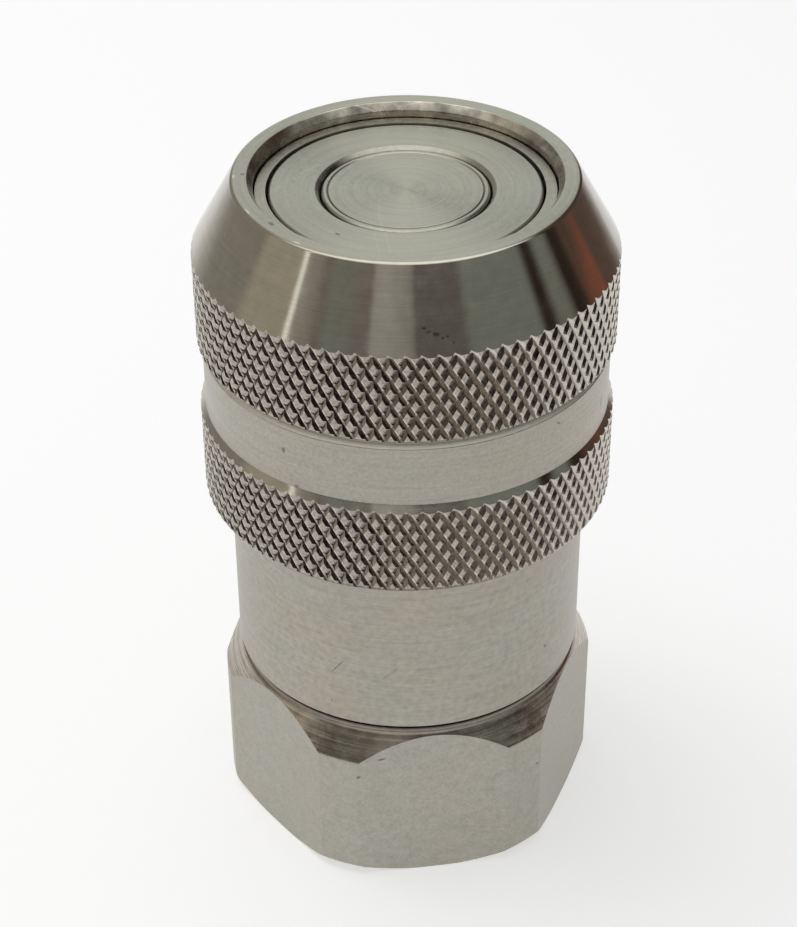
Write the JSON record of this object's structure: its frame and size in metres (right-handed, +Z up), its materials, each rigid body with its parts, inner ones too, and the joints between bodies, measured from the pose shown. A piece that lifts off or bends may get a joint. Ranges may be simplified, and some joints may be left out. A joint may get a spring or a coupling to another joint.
{
  "type": "hydraulic quick coupler",
  "caption": "Flat-face hydraulic quick coupler, female half: knurled locking sleeve that pulls back, plain barrel, hex port end and a sprung flat valve.",
  "frame": {"origin": "middle of the hex foot, on the coupler's axis", "axes": "+Z up the axis to the mouth, -Y out of the hex flat that faces the picture"},
  "size_m": [0.0386, 0.0386, 0.0689],
  "materials": {
    "hex_steel": "matte satin stainless steel, turned chamfer",
    "barrel_steel": "satin stainless steel with fine turning marks",
    "sleeve_steel": "stainless steel: polished cone, rolled knurl, satin band",
    "valve_steel": "fine turned stainless steel",
    "stem_steel": "fine turned stainless steel",
    "head_ring_steel": "fine turned stainless steel",
    "inner_steel": "turned stainless steel",
    "spring_steel": "drawn spring wire",
    "ball_steel": "polished ball",
    "seal_rubber": "smooth nitrile",
    "backup_plastic": "matte fluoropolymer"
  },
  "bodies": {
    "barrel": {"barrel": "barrel_steel", "hex_adapter": "hex_steel", "valve_stem": "stem_steel", "stem_head_ring": "head_ring_steel", "stem_seal": "seal_rubber", "stem_carrier": "inner_steel", "stem_washer": "inner_steel", "stem_nut": "inner_steel", "sleeve_spring": "spring_steel", "valve_spring": "spring_steel", "nose_seal": "seal_rubber", "nose_backup_ring": "backup_plastic", "adapter_seal": "seal_rubber", "adapter_backup_ring": "backup_plastic", "locking_ball_01": "ball_steel", "locking_ball_02": "ball_steel", "locking_ball_03": "ball_steel", "locking_ball_04": "ball_steel", "locking_ball_05": "ball_steel", "locking_ball_06": "ball_steel", "locking_ball_07": "ball_steel", "locking_ball_08": "ball_steel", "locking_ball_09": "ball_steel", "locking_ball_10": "ball_steel", "locking_ball_11": "ball_steel", "locking_ball_12": "ball_steel"},
    "retaining_ring": {"sleeve_retaining_ring": "spring_steel"},
    "locking_sleeve": {"locking_sleeve": "sleeve_steel"},
    "valve_sleeve": {"valve_sleeve": "valve_steel"}
  },
  "joints": [
    {"name": "sleeve_pull", "type": "slide", "parent": "barrel", "child": "retaining_ring", "axis": [0, 0, -1], "range_m": [0, 0.004], "stiffness_N_per_m": 2000, "springref_m": -0.008, "deforming": ["sleeve_spring"]},
    {"name": "sleeve_turn", "type": "hinge", "parent": "retaining_ring", "child": "locking_sleeve", "pos_m": [0, 0, 0.05], "axis": [0, 0, 1], "continuous": true},
    {"name": "valve_slide", "type": "slide", "parent": "barrel", "child": "valve_sleeve", "axis": [0, 0, -1], "range_m": [0, 0.014], "stiffness_N_per_m": 1500, "springref_m": -0.02, "deforming": ["valve_spring"]}
  ]
}
